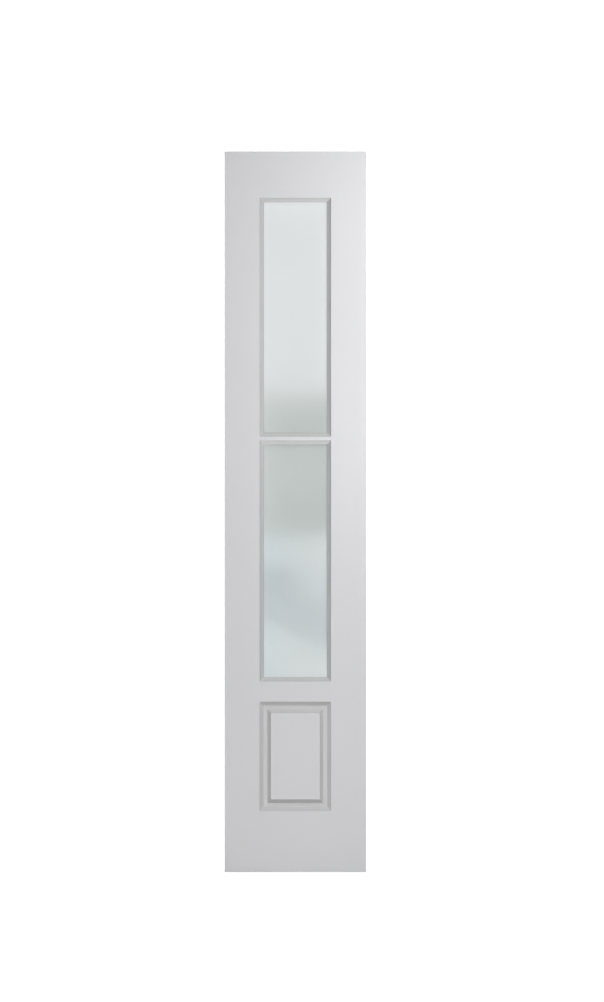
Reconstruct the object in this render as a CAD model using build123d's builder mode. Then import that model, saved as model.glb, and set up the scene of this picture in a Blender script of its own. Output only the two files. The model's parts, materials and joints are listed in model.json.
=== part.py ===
from build123d import *
import os

# An entrance door sidelight: a narrow fixed leaf with two glazed lites one
# above the other and a raised panel below them.
# Millimetres. X runs across the leaf, Y through it from the front face at
# -Y to the back face at +Y, Z is up. The origin is at the middle of the
# bottom edge.

# ---- driving dimensions -------------------------------------------------
leaf_w = 400.0
leaf_h = 2040.0
leaf_t = 40.0
half_t = leaf_t / 2
skin_t = 4.0            # moulded face sheet
core_t = leaf_t - 2 * skin_t
arris = 0.8             # eased outer edge of the face sheets

light_w = 203.0         # cut-outs for the glass, and the raised panel
upper_bottom, upper_top = 1232.0, 1909.5
lower_bottom, lower_top = 539.0, 1222.7
panel_bottom, panel_top = 173.3, 482.2

glass_t = 6.4
glass_gap = 3.0         # clearance round each pane, held by the blocks
tape_t = 1.2
tape_w = 10.6
bead_w = 12.5
bead_d = half_t - glass_t / 2 - tape_t
block_len = 60.0

field_drop = 0.3        # the raised field lies this far below the face
mould_w = 32.1          # whole moulding round the field
cove_w = 11.5           # hollow next to the face
valley_d = 12.1         # depth of the valley past the hollow
quirk_d = 13.4          # fine groove at the foot of the bevel
bevel_w = 9.4           # raised bevel next to the field
relief_d = quirk_d + 3.0        # back of the formed sheet below the face

light_half = light_w / 2
stile_w = (leaf_w - light_w) / 2

# Sections are drawn as (in from the cut-out's edge, depth below the face).
bead_section = [
    (0, 0),
    (3.8, 5.7),
    (7.8, 10.2),
    (12.0, 14.4),
    (bead_w, 14.8),
    (bead_w, bead_d),
    (0, bead_d),
]
tape_section = [
    (0.9, bead_d),
    (0.9 + tape_w, bead_d),
    (0.9 + tape_w, bead_d + tape_t),
    (0.9, bead_d + tape_t),
]
# Face of the formed moulding: a hollow that starts steep and flattens, a
# shallow valley with one fine step up, then the raised bevel, steeper at
# its foot and at the edge of the field, with a quirk at the foot.
bevel_at = mould_w - bevel_w
mould_face = [
    (0, 0),
    (0.4, 1.1),
    (3.2, 4.0),
    (6.0, 6.6),
    (8.9, 9.1),
    (cove_w, valley_d - 1.1),
    (16.4, valley_d),
    (17.0, valley_d - 0.4),
    (bevel_at - 0.4, valley_d + 0.6),
    (bevel_at, quirk_d),
    (bevel_at + 1.8, quirk_d - 4.2),
    (mould_w - 3.2, field_drop + 4.9),
    (mould_w, field_drop),
]
back_line = [
    (mould_w, field_drop + skin_t),
    (bevel_at, relief_d),
    (cove_w, relief_d),
    (8.9, relief_d - 2.3),
    (3.2, relief_d - 7.6),
]
mould_back = [*back_line, (0, skin_t)]
relief_section = [(0, skin_t), (mould_w, skin_t), *back_line]

os.makedirs("parts", exist_ok=True)


def side_frame(side, bottom, top, back):
    """The plane across one side of a cut-out: x into the cut-out, y into the leaf. Returns it with the side's length and the outward corner directions."""
    mid = (bottom + top) / 2
    into = {
        "top": Vector(0, 0, -1),
        "bottom": Vector(0, 0, 1),
        "left": Vector(1, 0, 0),
        "right": Vector(-1, 0, 0),
    }[side]
    start = {
        "top": Vector(0, 0, top),
        "bottom": Vector(0, 0, bottom),
        "left": Vector(-light_half, 0, mid),
        "right": Vector(light_half, 0, mid),
    }[side]
    deep = Vector(0, -1 if back else 1, 0)
    start = start - deep * half_t
    length = light_w if side in ("top", "bottom") else top - bottom
    return start, into, deep, into.cross(deep), length


def mitred(section, side, bottom, top, back=False):
    """A straight moulding along one side of a cut-out, its ends cut at 45 degrees through the corners."""
    start, into, deep, along, length = side_frame(side, bottom, top, back)
    with BuildPart() as bar:
        with BuildSketch(Plane(origin=start, x_dir=into, z_dir=along)):
            with BuildLine():
                Polyline(*section, close=True)
            make_face()
        extrude(amount=length / 2 + 1, both=True)
        for way in (1, -1):
            corner = start + along * (way * length / 2)
            split(
                bisect_by=Plane(origin=corner, z_dir=along * way + into),
                keep=Keep.BOTTOM,
            )
    return bar.part


def write(piece, name):
    piece.label = name
    export_step(piece, f"parts/{name}.step")


SIDES = ("top", "bottom", "left", "right")
LIGHTS = {
    "upper": (upper_bottom, upper_top),
    "lower": (lower_bottom, lower_top),
}

# ---- face sheets --------------------------------------------------------
panel_mid = (panel_bottom + panel_top) / 2
panel_h = panel_top - panel_bottom

with BuildPart() as front_skin:
    with BuildSketch(Plane.XZ.offset(half_t)):
        with Locations((0, leaf_h / 2)):
            Rectangle(leaf_w, leaf_h)
        for low, high in (*LIGHTS.values(), (panel_bottom, panel_top)):
            with Locations((0, (low + high) / 2)):
                Rectangle(light_w, high - low, mode=Mode.SUBTRACT)
    extrude(amount=-skin_t)
    rim = front_skin.faces().sort_by(Axis.Y)[0].outer_wire().edges()
    chamfer(rim, arris / 2)
    for side in SIDES:
        add(mitred(mould_face + mould_back, side, panel_bottom, panel_top))
    with BuildSketch(Plane.XZ.offset(half_t - field_drop)):
        with Locations((0, panel_mid)):
            Rectangle(light_w - 2 * mould_w, panel_h - 2 * mould_w)
    extrude(amount=-skin_t)
write(front_skin.part, "front_skin")

with BuildPart() as back_skin:
    mirror(front_skin.part, about=Plane.XZ)
write(back_skin.part, "back_skin")

# ---- core frame ---------------------------------------------------------
with BuildPart() as left_stile:
    with BuildSketch(Plane.XY):
        with Locations((-(light_half + stile_w / 2), 0)):
            Rectangle(stile_w, core_t)
    extrude(amount=leaf_h)
write(left_stile.part, "left_stile")

with BuildPart() as right_stile:
    mirror(left_stile.part, about=Plane.YZ)
write(right_stile.part, "right_stile")


def rail(low, high):
    with BuildPart() as bar:
        with BuildSketch(Plane.XY.offset(low)):
            Rectangle(light_w, core_t)
        extrude(amount=high - low)
    return bar.part


write(rail(upper_top, leaf_h), "top_rail")
write(rail(lower_top, upper_bottom), "glazing_bar")
write(rail(panel_top, lower_bottom), "lock_rail")
write(rail(0, panel_bottom), "bottom_rail")

# The infill is relieved on both faces for the backs of the formed sheets.
with BuildPart() as panel_core:
    with BuildSketch(Plane.XY.offset(panel_bottom)):
        Rectangle(light_w, core_t)
    extrude(amount=panel_h)
    for back in (False, True):
        for side in SIDES:
            add(
                mitred(relief_section, side, panel_bottom, panel_top, back),
                mode=Mode.SUBTRACT,
            )
    for face in (Plane.XZ.offset(core_t / 2), Plane.XZ.offset(-core_t / 2 + field_drop)):
        with BuildSketch(face):
            with Locations((0, panel_mid)):
                Rectangle(light_w - 2 * mould_w, panel_h - 2 * mould_w)
        extrude(amount=-field_drop, mode=Mode.SUBTRACT)
write(panel_core.part, "panel_core")

# ---- glazing ------------------------------------------------------------
for light, (low, high) in LIGHTS.items():
    with BuildPart() as pane:
        with BuildSketch(Plane.XZ.offset(glass_t / 2)):
            with Locations((0, (low + high) / 2)):
                Rectangle(light_w - 2 * glass_gap, high - low - 2 * glass_gap)
        extrude(amount=-glass_t)
        chamfer(pane.edges(), 0.4)
    write(pane.part, f"{light}_glass")

    with BuildPart() as blocks:
        with BuildSketch(Plane.XY.offset(low)):
            with GridLocations(light_w / 2, 0, 2, 1):
                Rectangle(block_len, glass_t)
        extrude(amount=glass_gap)
    write(blocks.part, f"{light}_setting_blocks")

    for face, back in (("front", False), ("back", True)):
        for side in SIDES:
            write(
                mitred(bead_section, side, low, high, back),
                f"{face}_{light}_bead_{side}",
            )
        with BuildPart() as tape:
            for side in SIDES:
                add(mitred(tape_section, side, low, high, back))
        write(tape.part, f"{face}_{light}_tape")
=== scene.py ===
import json
import math

import bmesh
import bpy
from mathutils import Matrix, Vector

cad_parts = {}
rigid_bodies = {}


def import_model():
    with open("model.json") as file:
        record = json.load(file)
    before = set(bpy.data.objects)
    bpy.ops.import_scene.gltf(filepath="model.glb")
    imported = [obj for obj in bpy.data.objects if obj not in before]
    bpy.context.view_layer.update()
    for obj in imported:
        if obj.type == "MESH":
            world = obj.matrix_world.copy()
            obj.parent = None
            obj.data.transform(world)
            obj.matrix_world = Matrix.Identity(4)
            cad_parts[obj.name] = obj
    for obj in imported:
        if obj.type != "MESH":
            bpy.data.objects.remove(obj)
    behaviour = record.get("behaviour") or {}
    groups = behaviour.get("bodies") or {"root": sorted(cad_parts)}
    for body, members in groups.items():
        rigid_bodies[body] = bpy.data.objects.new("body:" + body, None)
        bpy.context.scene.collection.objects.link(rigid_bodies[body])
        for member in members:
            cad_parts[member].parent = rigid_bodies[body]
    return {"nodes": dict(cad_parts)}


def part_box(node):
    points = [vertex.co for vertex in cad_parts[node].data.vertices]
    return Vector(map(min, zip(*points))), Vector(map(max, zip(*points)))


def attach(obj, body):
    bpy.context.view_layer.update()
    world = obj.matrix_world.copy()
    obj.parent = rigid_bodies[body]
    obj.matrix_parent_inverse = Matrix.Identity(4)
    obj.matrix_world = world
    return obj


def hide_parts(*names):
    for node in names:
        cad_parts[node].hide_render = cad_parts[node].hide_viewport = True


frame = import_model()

scene = bpy.context.scene
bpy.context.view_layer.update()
nodes = frame["nodes"]
MM = 0.001

# ---------------------------------------------------------------- sizes ---
# The cut-outs, read from the frame's own nodes.
HALF_T = max(abs(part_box("front_skin")[0].y), abs(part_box("back_skin")[1].y))
LEAF_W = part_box("front_skin")[1].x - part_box("front_skin")[0].x
LEAF_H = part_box("front_skin")[1].z
EDGE_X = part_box("top_rail")[1].x
LIGHTS = {
    "upper": (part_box("glazing_bar")[1].z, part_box("top_rail")[0].z),
    "lower": (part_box("lock_rail")[1].z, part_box("glazing_bar")[0].z),
}
PANEL = (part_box("bottom_rail")[1].z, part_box("lock_rail")[0].z)
SKIN_T = HALF_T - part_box("left_stile")[1].y
SIDES = ("top", "bottom", "left", "right")


# ------------------------------------------------------------- profiles ---
def rounded(points, radii, steps=5):
    """A polyline of (in, deep) points in mm with each inner corner turned into an arc of its own radius."""
    out = [points[0]]
    for i in range(1, len(points) - 1):
        p, a, b = Vector(points[i]), Vector(points[i - 1]), Vector(points[i + 1])
        r = radii.get(i, 0)
        into, away = (a - p), (b - p)
        turn = into.angle(away)
        if r <= 0 or turn > math.radians(179):
            out.append(tuple(p))
            continue
        cut = min(r / math.tan(turn / 2), 0.45 * into.length, 0.45 * away.length)
        r = cut * math.tan(turn / 2)
        into.normalize()
        away.normalize()
        middle = p + (into + away).normalized() * math.hypot(r, cut)
        start = p + into * cut - middle
        sweep = (p + away * cut - middle).angle_signed(start)
        for k in range(steps + 1):
            ang = sweep * k / steps
            c, s = math.cos(ang), math.sin(ang)
            out.append(
                tuple(middle + Vector((c * start.x - s * start.y, s * start.x + c * start.y)))
            )
    out.append(points[-1])
    return out


BEAD_FACE = rounded(
    [(0, 0.25), (0.25, 0), (3.8, 5.7), (7.8, 10.2), (12.0, 14.4), (12.5, 14.8), (12.5, 15.6)],
    {1: 0.35, 2: 8, 3: 14, 4: 0.4, 5: 0.35},
)
MOULD_FACE = rounded(
    [
        (0, 0),
        (0.4, 1.1),
        (3.2, 4.0),
        (6.0, 6.6),
        (8.9, 9.1),
        (11.5, 11.0),
        (16.4, 12.1),
        (17.0, 11.7),
        (22.3, 12.7),
        (22.7, 13.4),
        (24.5, 9.2),
        (28.9, 5.2),
        (32.1, 0.3),
        (32.4, 0.3),
    ],
    {1: 0.8, 2: 14, 3: 14, 4: 12, 5: 1.5, 6: 0.4, 7: 0.4, 8: 0.2, 9: 0.2, 10: 3.0, 11: 3.0, 12: 0.3},
)
MOULD_BACK = [
    (0, 4.0),
    (3.2, 8.8),
    (8.9, 14.1),
    (11.5, 16.4),
    (22.7, 16.4),
    (32.1, 4.3),
    (32.4, 4.3),
]


# --------------------------------------------------------- mesh helpers ---
def finish_mesh(bm, name, materials, sharp=32.0):
    bmesh.ops.remove_doubles(bm, verts=bm.verts, dist=1e-6)
    bmesh.ops.recalc_face_normals(bm, faces=bm.faces)
    me = bpy.data.meshes.new(name)
    bm.to_mesh(me)
    bm.free()
    for p in me.polygons:
        p.use_smooth = True
    me.set_sharp_from_angle(angle=math.radians(sharp))
    ob = bpy.data.objects.new(name, me)
    scene.collection.objects.link(ob)
    for mat in materials:
        me.materials.append(mat)
    even = ob.modifiers.new("even_normals", "WEIGHTED_NORMAL")
    even.keep_sharp = True
    even.weight = 60
    return ob


def loop_at(bm, low, high, inset, y):
    """The four corners of a cut-out's outline, inset by mm, at a depth y in metres."""
    x, z0, z1 = EDGE_X - inset * MM, low + inset * MM, high - inset * MM
    return [bm.verts.new(c) for c in ((-x, y, z0), (x, y, z0), (x, y, z1), (-x, y, z1))]


def bridge(bm, a, b, finish=0):
    for i in range(4):
        j = (i + 1) % 4
        bm.faces.new((a[i], a[j], b[j], b[i])).material_index = finish


def face_sheet(name, back, materials):
    """One formed sheet: a plate with two cut-outs and the raised panel's moulding, all of one thickness, with
    an eased rim. The moulding takes the second material, a darker copy of the face primer that paints shade
    into the recess.
    """
    out = 1 if back else -1
    bm = bmesh.new()

    def at(depth):
        return out * (HALF_T - depth * MM)

    ease = [(0.0, 0.75), (0.12, 0.38), (0.38, 0.12), (0.75, 0.0)]  # rim: (in, deep)
    xs = [-LEAF_W / 2, -EDGE_X, EDGE_X, LEAF_W / 2]
    zs = [0, *PANEL, *LIGHTS["lower"], *LIGHTS["upper"], LEAF_H]
    holes = {(1, 1), (1, 3), (1, 5)}

    def plate(depth, edge):
        grid = {}
        for i, x in enumerate(xs):
            for j, z in enumerate(zs):
                px = x - math.copysign(edge * MM, x) if i in (0, 3) else x
                pz = z + edge * MM if j == 0 else z - edge * MM if j == len(zs) - 1 else z
                grid[i, j] = bm.verts.new((px, at(depth), pz))
        for i in range(3):
            for j in range(len(zs) - 1):
                if (i, j) not in holes:
                    bm.faces.new([grid[i, j], grid[i + 1, j], grid[i + 1, j + 1], grid[i, j + 1]])
        return grid

    seam = 0.22  # the rear arris, which leaves a hairline at the joint with the core
    front, rear = plate(0.0, ease[-1][0]), plate(SKIN_T / MM, seam)
    rim = [(i, 0) for i in range(4)]
    rim += [(3, j) for j in range(1, len(zs))]
    rim += [(i, len(zs) - 1) for i in (2, 1, 0)]
    rim += [(0, j) for j in range(len(zs) - 2, 0, -1)]

    def ring(inset, depth):
        found = []
        for i, j in rim:
            x, z = xs[i], zs[j]
            px = x - math.copysign(inset * MM, x) if i in (0, 3) else x
            pz = z + inset * MM if j == 0 else z - inset * MM if j == len(zs) - 1 else z
            found.append(bm.verts.new((px, at(depth), pz)))
        return found

    rings = [[front[k] for k in rim]]
    rings += [ring(i, d) for i, d in reversed(ease[:-1])]
    rings += [ring(0.0, SKIN_T / MM - seam), [rear[k] for k in rim]]
    for a, b in zip(rings, rings[1:]):
        for k in range(len(rim)):
            m = (k + 1) % len(rim)
            bm.faces.new((a[k], a[m], b[m], b[k]))
    for low, high in LIGHTS.values():
        bridge(bm, loop_at(bm, low, high, 0, at(0)), loop_at(bm, low, high, 0, at(SKIN_T / MM)))
    for section in (MOULD_FACE, MOULD_BACK):
        loops = [loop_at(bm, *PANEL, u, at(d)) for u, d in section]
        for a, b in zip(loops, loops[1:]):
            bridge(bm, a, b, 1 if section is MOULD_FACE else 0)
        bm.faces.new(loops[-1])
    return finish_mesh(bm, name, materials)


def bead(name, side, low, high, back, material):
    """A straight glazing bead with mitred ends."""
    out = 1 if back else -1
    bm = bmesh.new()
    section = [*BEAD_FACE, (0, 15.6)]
    gap = 0.06 * MM
    ends = []
    for way in (-1, 1):
        loop = []
        for u, d in section:
            y = out * (HALF_T - d * MM)
            inset = u * MM
            if side in ("top", "bottom"):
                x = way * (EDGE_X - inset - gap)
                z = high - inset if side == "top" else low + inset
            else:
                x = (EDGE_X - inset) * (1 if side == "right" else -1)
                z = (high - inset - gap) if way > 0 else (low + inset + gap)
            loop.append(bm.verts.new((x, y, z)))
        ends.append(loop)
    n = len(section)
    for k in range(n):
        m = (k + 1) % n
        bm.faces.new((ends[0][k], ends[0][m], ends[1][m], ends[1][k]))
    for loop in ends:
        bm.faces.new(loop)
    return finish_mesh(bm, name, [material])


# ------------------------------------------------------------ materials ---
def material(name):
    mat = bpy.data.materials.new(name)
    mat.use_nodes = True
    tree = mat.node_tree
    return mat, tree, tree.nodes["Principled BSDF"]


def link(tree, a, out, b, into):
    tree.links.new(a.outputs[out], b.inputs[into])


def noise(tree, coords, scale, detail=2.0, rough=0.5, stretch=(1, 1, 1)):
    mapping = tree.nodes.new("ShaderNodeMapping")
    mapping.inputs["Scale"].default_value = stretch
    link(tree, coords, "Object", mapping, "Vector")
    tex = tree.nodes.new("ShaderNodeTexNoise")
    tex.inputs["Scale"].default_value = scale
    tex.inputs["Detail"].default_value = detail
    tex.inputs["Roughness"].default_value = rough
    link(tree, mapping, "Vector", tex, "Vector")
    return tex


def spread(tree, source, low, high, out="Fac"):
    rng = tree.nodes.new("ShaderNodeMapRange")
    rng.inputs["From Min"].default_value = 0.3
    rng.inputs["From Max"].default_value = 0.7
    rng.inputs["To Min"].default_value = low
    rng.inputs["To Max"].default_value = high
    link(tree, source, out, rng, "Value")
    return rng


def paint(name, colour, rough=0.42):
    """Satin primer: a very fine stipple, with slow, faint changes in tone and gloss."""
    mat, tree, shader = material(name)
    coords = tree.nodes.new("ShaderNodeTexCoord")
    slow = noise(tree, coords, 3.0, 3.0)
    tone = tree.nodes.new("ShaderNodeMix")
    tone.data_type = "RGBA"
    tone.inputs[6].default_value = (*[c * 0.985 for c in colour], 1)
    tone.inputs[7].default_value = (*[min(1, c * 1.015) for c in colour], 1)
    link(tree, slow, "Fac", tone, 0)
    tree.links.new(tone.outputs[2], shader.inputs["Base Color"])
    fine = noise(tree, coords, 420.0, 2.0, 0.6)
    gloss = spread(tree, noise(tree, coords, 40.0, 3.0), rough - 0.03, rough + 0.03)
    link(tree, gloss, "Result", shader, "Roughness")
    bump = tree.nodes.new("ShaderNodeBump")
    bump.inputs["Strength"].default_value = 0.06
    bump.inputs["Distance"].default_value = 0.0004
    link(tree, fine, "Fac", bump, "Height")
    link(tree, bump, "Normal", shader, "Normal")
    return mat


PAINT = (0.63, 0.63, 0.643)
face_paint = paint("primer_face", PAINT)
# Painted shade: the moulding primer is a darker copy of the face primer, standing in for shade on the sunk
# moulding's slopes.
shaded_mould_paint = paint("primer_moulding_painted_shade", (0.567, 0.567, 0.567))
# Painted shade: the bead primer is a darker copy of the face primer, standing in for part of the shade on the
# sloping beads.
shaded_bead_paint = paint("primer_bead_painted_shade", (0.553, 0.553, 0.553))
edge_paint = paint("primer_edge", tuple(c * 0.97 for c in PAINT), 0.5)


def glass_material():
    mat, tree, shader = material("translucent_glass")
    coords = tree.nodes.new("ShaderNodeTexCoord")
    slow = noise(tree, coords, 5.0, 1.0)
    tone = tree.nodes.new("ShaderNodeMix")
    tone.data_type = "RGBA"
    tone.inputs[6].default_value = (0.80, 0.86, 0.84, 1)
    tone.inputs[7].default_value = (0.83, 0.88, 0.865, 1)
    link(tree, slow, "Fac", tone, 0)
    tree.links.new(tone.outputs[2], shader.inputs["Base Color"])
    shader.inputs["Transmission Weight"].default_value = 0.72
    shader.inputs["Roughness"].default_value = 0.45
    shader.inputs["IOR"].default_value = 1.5
    return mat


def tape_material():
    mat, tree, shader = material("glazing_tape")
    coords = tree.nodes.new("ShaderNodeTexCoord")
    grain = noise(tree, coords, 300.0, 2.0)
    tone = tree.nodes.new("ShaderNodeMix")
    tone.data_type = "RGBA"
    tone.inputs[6].default_value = (0.30, 0.31, 0.31, 1)
    tone.inputs[7].default_value = (0.36, 0.37, 0.37, 1)
    link(tree, grain, "Fac", tone, 0)
    tree.links.new(tone.outputs[2], shader.inputs["Base Color"])
    shader.inputs["Roughness"].default_value = 0.7
    return mat


def block_material():
    mat, tree, shader = material("setting_block")
    coords = tree.nodes.new("ShaderNodeTexCoord")
    grain = noise(tree, coords, 250.0, 2.0)
    tone = tree.nodes.new("ShaderNodeMix")
    tone.data_type = "RGBA"
    tone.inputs[6].default_value = (0.03, 0.03, 0.03, 1)
    tone.inputs[7].default_value = (0.06, 0.06, 0.06, 1)
    link(tree, grain, "Fac", tone, 0)
    tree.links.new(tone.outputs[2], shader.inputs["Base Color"])
    shader.inputs["Roughness"].default_value = 0.6
    return mat


glass = glass_material()
tape = tape_material()
block = block_material()

# --------------------------------------------------------------- pieces ---
for face, back in (("front", False), ("back", True)):
    sheet = face_sheet(f"{face}_face_sheet", back, [face_paint, shaded_mould_paint])
    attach(sheet, "root")
    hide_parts(f"{face}_skin")
    for light, (low, high) in LIGHTS.items():
        for side in SIDES:
            piece = bead(f"{face}_{light}_glazing_bead_{side}", side, low, high, back, shaded_bead_paint)
            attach(piece, "root")
            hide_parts(f"{face}_{light}_bead_{side}")


def dress(name, mat):
    ob = nodes[name]
    ob.data.materials.clear()
    ob.data.materials.append(mat)
    return ob


for name in ("left_stile", "right_stile", "top_rail", "glazing_bar", "lock_rail", "bottom_rail", "panel_core"):
    ob = dress(name, edge_paint)
    ob.modifiers.new("join", "WELD").merge_threshold = 1e-5
    arris = ob.modifiers.new("arris", "BEVEL")
    arris.width = 0.22 * MM
    arris.segments = 2
    arris.limit_method = "ANGLE"
    arris.angle_limit = math.radians(50)
    ob.modifiers.new("even_normals", "WEIGHTED_NORMAL").keep_sharp = True
for light in LIGHTS:
    dress(f"{light}_glass", glass)
    dress(f"{light}_setting_blocks", block)
    for face in ("front", "back"):
        dress(f"{face}_{light}_tape", tape)

# --------------------------------------------------------------- studio ---
scene.view_settings.view_transform = "Standard"
scene.view_settings.look = "None"
scene.cycles.use_denoising = True
scene.cycles.filter_width = 1.2

# The photograph is 604 x 1002 and straight on, with 2.8315 mm to the pixel.
PX = 2.8315 * MM
MID_X, MID_Z = (302 - 295.34) * PX, (872.0 - 501) * PX
FAR = 24.0
cam_data = bpy.data.cameras.new("camera")
cam_data.sensor_width = 36
cam_data.lens = 36 * FAR / (1002 * PX)
cam_data.clip_end = 200
cam = bpy.data.objects.new("camera", cam_data)
scene.collection.objects.link(cam)
cam.location = (MID_X, -HALF_T - FAR, MID_Z)
cam.rotation_euler = (math.pi / 2, 0, 0)
scene.camera = cam


def studio_floor():
    """A plain pale floor, as white as the backdrop, with a faint painted contact shadow: to the camera it
    glows white, dimmed by an occlusion term near the leaf.
    """
    bm = bmesh.new()
    corners = ((-60, -60), (60, -60), (60, 60), (-60, 60))
    bm.faces.new([bm.verts.new((x, y, 0)) for x, y in corners])
    me = bpy.data.meshes.new("studio_floor")
    bm.to_mesh(me)
    bm.free()
    ob = bpy.data.objects.new("studio_floor", me)
    scene.collection.objects.link(ob)
    mat, tree, shader = material("studio_white")
    shader.inputs["Base Color"].default_value = (0.3, 0.3, 0.3, 1)
    shader.inputs["Roughness"].default_value = 0.9
    path_node = tree.nodes.new("ShaderNodeLightPath")
    # Painted contact shadow: occlusion near the leaf dims the floor's white glow.
    corner = tree.nodes.new("ShaderNodeAmbientOcclusion")
    corner.inputs["Distance"].default_value = 0.12
    glow = tree.nodes.new("ShaderNodeEmission")
    glow.inputs["Color"].default_value = (1, 1, 1, 1)
    contact = tree.nodes.new("ShaderNodeMapRange")
    contact.inputs["To Min"].default_value = 0.8
    contact.inputs["To Max"].default_value = 1.06
    link(tree, corner, "AO", contact, "Value")
    link(tree, contact, "Result", glow, "Strength")
    mix = tree.nodes.new("ShaderNodeMixShader")
    link(tree, path_node, "Is Camera Ray", mix, 0)
    tree.links.new(shader.outputs[0], mix.inputs[1])
    tree.links.new(glow.outputs[0], mix.inputs[2])
    tree.links.new(mix.outputs[0], tree.nodes["Material Output"].inputs["Surface"])
    me.materials.append(mat)
    return ob


studio_floor()


def soft_light(name, place, target, width, height, watts, glossy=True):
    data = bpy.data.lights.new(name, "AREA")
    data.shape = "RECTANGLE"
    data.size, data.size_y = width, height
    data.energy = watts
    ob = bpy.data.objects.new(name, data)
    scene.collection.objects.link(ob)
    ob.location = place
    ob.rotation_euler = (Vector(target) - Vector(place)).to_track_quat("-Z", "Y").to_euler()
    ob.visible_glossy = glossy
    return ob


def backlight_material():
    """The blurred tones seen through the glass, light and dark, as soft masks over height and width."""
    mat, tree, shader = material("backlight_card")
    tree.nodes.remove(shader)
    coords = tree.nodes.new("ShaderNodeTexCoord")
    axes = tree.nodes.new("ShaderNodeSeparateXYZ")
    link(tree, coords, "Object", axes, "Vector")
    sway = noise(tree, coords, 7.0, 1.0)

    def maths(kind, a, b):
        node = tree.nodes.new("ShaderNodeMath")
        node.operation = kind
        for i, v in enumerate((a, b)):
            if isinstance(v, (int, float)):
                node.inputs[i].default_value = v
            else:
                tree.links.new(v, node.inputs[i])
        return node.outputs[0]

    def soft(value, start, end):
        node = tree.nodes.new("ShaderNodeMapRange")
        node.interpolation_type = "SMOOTHSTEP"
        node.inputs["From Min"].default_value = start
        node.inputs["From Max"].default_value = end
        tree.links.new(value, node.inputs["Value"])
        return node.outputs["Result"]

    def spot(x, z, rx, rz):
        """1 at a point, falling softly to 0 at an ellipse round it."""
        dx = maths("DIVIDE", maths("SUBTRACT", across, x), rx)
        dz = maths("DIVIDE", maths("SUBTRACT", up, z), rz)
        away = maths("ADD", maths("MULTIPLY", dx, dx), maths("MULTIPLY", dz, dz))
        return soft(away, 1.0, 0.0)

    def blend(fac, first, second):
        node = tree.nodes.new("ShaderNodeMix")
        node.data_type = "RGBA"
        if isinstance(fac, (int, float)):
            node.inputs[0].default_value = fac
        else:
            tree.links.new(fac, node.inputs[0])
        for i, v in ((6, first), (7, second)):
            if isinstance(v, tuple):
                node.inputs[i].default_value = (*v, 1)
            else:
                tree.links.new(v, node.inputs[i])
        return node.outputs[2]

    across = axes.outputs["X"]
    up = maths("ADD", axes.outputs["Z"], maths("MULTIPLY", maths("SUBTRACT", sway.outputs["Fac"], 0.5), 0.03))
    slant = maths("ADD", up, maths("MULTIPLY", across, 0.42))

    pale = blend(soft(across, -0.12, 0.10), (0.715, 0.66, 0.695), (0.70, 0.64, 0.675))
    deep = blend(soft(across, -0.115, 0.0), (0.40, 0.405, 0.395), (0.26, 0.26, 0.255))
    middle = blend(soft(across, -0.10, 0.06), (0.53, 0.59, 0.66), (0.61, 0.59, 0.625))
    low = blend(soft(across, -0.10, 0.03), (0.50, 0.55, 0.60), (0.55, 0.53, 0.565))
    lowest = blend(soft(across, -0.10, 0.0), (0.34, 0.39, 0.46), (0.52, 0.49, 0.52))
    shade = (0.255, 0.285, 0.34)

    colour = blend(soft(up, 1.41, 1.29), pale, deep)
    colour = blend(maths("MULTIPLY", spot(-0.02, 1.14, 0.16, 0.12), 0.35), colour, (0.46, 0.45, 0.45))
    colour = blend(soft(up, 0.995, 0.91), colour, middle)
    colour = blend(soft(up, 0.74, 0.68), colour, low)
    colour = blend(soft(up, 0.65, 0.57), colour, lowest)
    thin = maths("MULTIPLY", spot(0.085, 0.845, 0.12, 0.10), 0.75)
    dark = maths("MULTIPLY", soft(up, 0.905, 0.815), soft(slant, 0.627, 0.697))
    dark = maths("MULTIPLY", dark, maths("SUBTRACT", 1.0, thin))
    colour = blend(dark, colour, shade)
    colour = blend(maths("MULTIPLY", soft(up, 0.84, 0.77), 0.13), colour, (0.95, 0.97, 1.0))

    # Painted light: a little brighter past the glass, where the beads close it in, to offset the shade the
    # beads throw on the glass there.
    side = maths("MULTIPLY", soft(maths("ABSOLUTE", across, 0.0), 0.055, 0.125), 0.33)
    painted_head_light = maths("MULTIPLY", soft(up, 1.84, 1.93), 0.42)
    rim = maths("ADD", 1.0, maths("MAXIMUM", side, painted_head_light))
    lit = tree.nodes.new("ShaderNodeMix")
    lit.data_type = "RGBA"
    lit.blend_type = "MULTIPLY"
    lit.inputs[0].default_value = 1.0
    tree.links.new(colour, lit.inputs[6])
    tree.links.new(rim, lit.inputs[7])
    colour = lit.outputs[2]

    glow = tree.nodes.new("ShaderNodeEmission")
    glow.name = "glow"
    tree.links.new(colour, glow.inputs["Color"])
    glow.inputs["Strength"].default_value = 1.0
    tree.links.new(glow.outputs[0], tree.nodes["Material Output"].inputs["Surface"])
    return mat


def backlight_card(name, y, mat):
    """A softly toned card behind the glass, seen only through it."""
    bm = bmesh.new()
    corners = ((-0.7, 0.2), (0.7, 0.2), (0.7, 2.3), (-0.7, 2.3))
    bm.faces.new([bm.verts.new((x, y, z)) for x, z in corners])
    me = bpy.data.meshes.new(name)
    bm.to_mesh(me)
    bm.free()
    ob = bpy.data.objects.new(name, me)
    scene.collection.objects.link(ob)
    me.materials.append(mat)
    ob.visible_camera = ob.visible_diffuse = ob.visible_glossy = ob.visible_shadow = False
    return ob


backlight = backlight_material()
backlight_card("backlight_card_far", 0.09, backlight)
backlight_card("backlight_card_near", -0.09, backlight)

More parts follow.
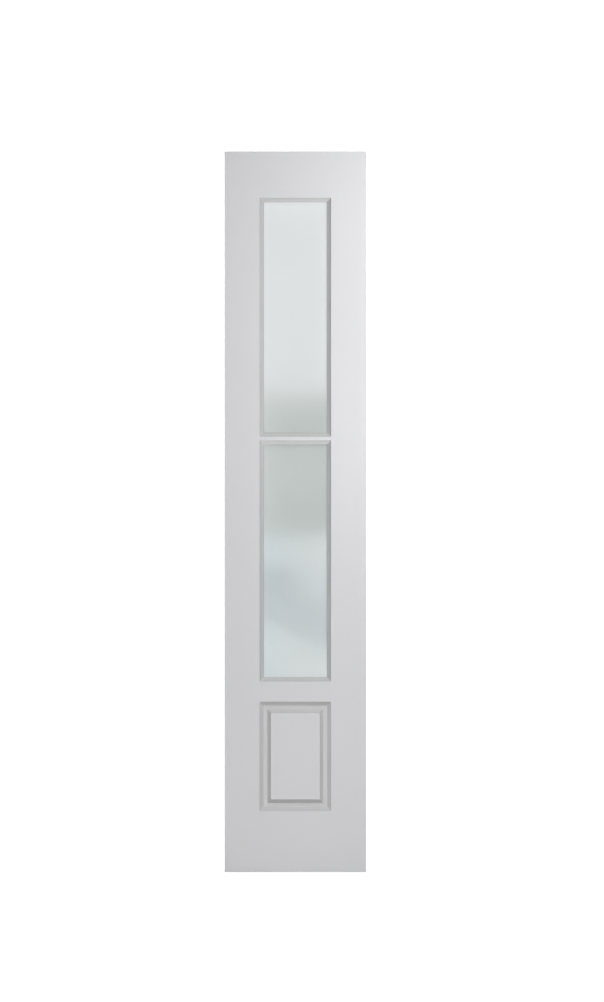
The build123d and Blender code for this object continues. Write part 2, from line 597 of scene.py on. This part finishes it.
# Each lamp has a twin on the far side, turned half round, for the back face.
LAMPS = [
    # name, place, target, width, height, watts, seen in gloss, pieces it lights
    ("key_right", (0.9, -2.0, 1.6), (0, 0, 1.6), 0.8, 0.8, 21.9, True, None),
    ("fill_left", (-3.939, -6.823, 2.489), (0, 0, 1.1), 2.6, 2.6, 90.9, False, None),
    ("fill_high", (-3.277, -5.675, 5.689), (0, 0, 1.1), 2.6, 2.6, 23.8, False, None),
    ("top", (0, -5.142, 7.228), (0, 0, 1.1), 2.6, 2.6, 115, False, None),
    ("low", (0, -1.5, 0.1), (0, 0, 0.9), 1.2, 0.2, 5.99, True, None),
    ("foot", (0, -0.22, 0.02), (0, 0, 0.03), 0.5, 0.03, 0.036, False, None),
    ("edge_upper", (0.45, -0.6, 1.95), (0, 0, 1.95), 0.4, 0.4, 1.5, True, "all_but_side_beads"),
    ("edge_middle", (0.45, -0.6, 1.25), (0, 0, 1.25), 0.4, 0.4, 1.07, True, "all_but_side_beads"),
    ("edge_lower", (0.3, -1.0, 0.5), (0, 0, 0.5), 0.5, 0.5, 0.42, True, None),
    ("edge_beads", (0.45, -0.6, 1.6), (0, 0, 1.6), 0.4, 1.0, 1.75, True, "side_beads"),
    ("under_beads", (0, -1.2, 0.3), (0, 0, 0.9), 1.0, 0.2, 4.3, True, "top_beads"),
    ("under_bar", (0, -1.2, 0.3), (0, 0, 0.9), 1.0, 0.2, 4, True, "lower_top_beads"),
    ("side_strip", (2.6, 0, 0.95), (0, 0, 0.95), 0.1, 2.4, 22.0, False, None),
    ("over_strip", (0, 0, 4.6), (0, 0, 2.0), 0.6, 0.1, 13.0, False, None),
]


def lit_set(name, suffixes, skip=False):
    """The pieces whose names end so, as what a lamp lights, or else all that it lights but them."""
    pieces = bpy.data.collections.new(name)
    for piece in list(scene.objects):
        if piece.name.endswith(suffixes):
            pieces.objects.link(piece)
    for item in pieces.collection_objects:
        item.light_linking.link_state = "EXCLUDE" if skip else "INCLUDE"
    return pieces


KEY_SIDE_BEADS = tuple(
    f"{face}_{light}_glazing_bead_{side}"
    for face, side in (("front", "left"), ("back", "right"))
    for light in LIGHTS
)
LIT = {
    "top_beads": lit_set("top_beads", ("glazing_bead_top",)),
    "lower_top_beads": lit_set("lower_top_beads", ("lower_glazing_bead_top",)),
    "side_beads": lit_set("side_beads", KEY_SIDE_BEADS),
    "all_but_side_beads": lit_set("all_but_side_beads", KEY_SIDE_BEADS, skip=True),
}
for name, (x, y, z), (tx, ty, tz), width, height, watts, glossy, lit in LAMPS:
    for way, end in ((1, ""), (-1, "_back")):
        place, target = (way * x, way * y, z), (way * tx, way * ty, tz)
        lamp = soft_light(name + end, place, target, width, height, watts, glossy)
        if lit:
            lamp.light_linking.receiver_collection = LIT[lit]

world = bpy.data.worlds.new("world")
scene.world = world
world.use_nodes = True
tree = world.node_tree
tree.nodes["Background"].inputs["Color"].default_value = (1, 1, 1, 1)
tree.nodes["Background"].inputs["Strength"].default_value = 0.1
bright = tree.nodes.new("ShaderNodeBackground")
bright.inputs["Color"].default_value = (1, 1, 1, 1)
bright.inputs["Strength"].default_value = 1.05
path_node = tree.nodes.new("ShaderNodeLightPath")
mix = tree.nodes.new("ShaderNodeMixShader")
link(tree, path_node, "Is Camera Ray", mix, 0)
tree.links.new(tree.nodes["Background"].outputs[0], mix.inputs[1])
tree.links.new(bright.outputs[0], mix.inputs[2])
tree.links.new(mix.outputs[0], tree.nodes["World Output"].inputs["Surface"])
world.cycles_visibility.diffuse = False
